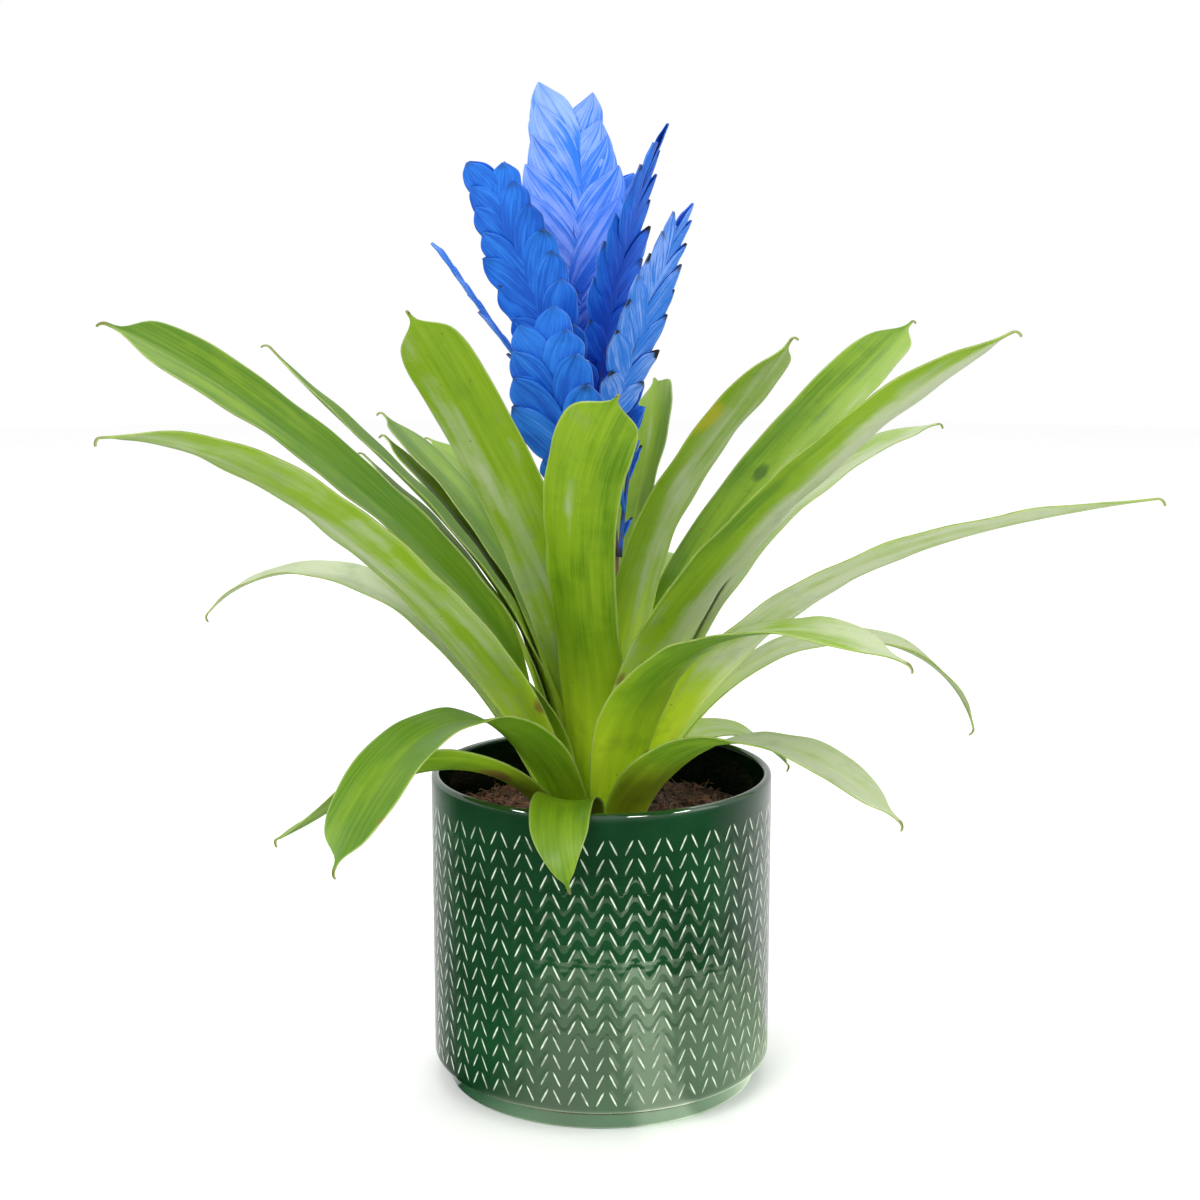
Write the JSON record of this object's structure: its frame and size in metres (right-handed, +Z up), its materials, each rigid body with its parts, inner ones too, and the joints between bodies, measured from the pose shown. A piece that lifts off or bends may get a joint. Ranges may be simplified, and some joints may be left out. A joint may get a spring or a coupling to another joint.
{
  "type": "potted bromeliad",
  "caption": "Potted vriesea: arching strap leaves round a branched head of flat blue bract spikes, in a round glazed cover pot.",
  "frame": {"origin": "middle of the pot's flat underside", "axes": "+Z up along the pot's axis, the longest extent; the pictured side faces -Y; +X to the right in the picture"},
  "size_m": [0.3767, 0.3696, 0.4318],
  "materials": {
    "glaze": "gloss",
    "soil": "matte",
    "crown": "matte",
    "stalk": "satin",
    "leaf": "satin",
    "bract": "satin"
  },
  "bodies": {
    "root": {"pot": "glaze", "soil": "soil", "crown": "crown", "stalk": "stalk", "leaf-01": "leaf", "leaf-02": "leaf", "leaf-03": "leaf", "leaf-04": "leaf", "leaf-05": "leaf", "leaf-06": "leaf", "leaf-07": "leaf", "leaf-08": "leaf", "leaf-09": "leaf", "leaf-10": "leaf", "leaf-11": "leaf", "leaf-12": "leaf", "leaf-13": "leaf", "leaf-14": "leaf", "leaf-15": "leaf", "leaf-16": "leaf", "leaf-17": "leaf", "leaf-18": "leaf", "leaf-19": "leaf", "leaf-20": "leaf", "leaf-21": "leaf", "leaf-22": "leaf", "leaf-23": "leaf", "leaf-24": "leaf", "leaf-25": "leaf", "leaf-26": "leaf", "spike-01": "bract", "spike-02": "bract", "spike-03": "bract", "spike-04": "bract", "spike-05": "bract", "spike-06": "bract", "spike-07": "bract", "spike-08": "bract", "spike-09": "bract", "spike-10": "bract", "spike-11": "bract"}
  },
  "joints": []
}
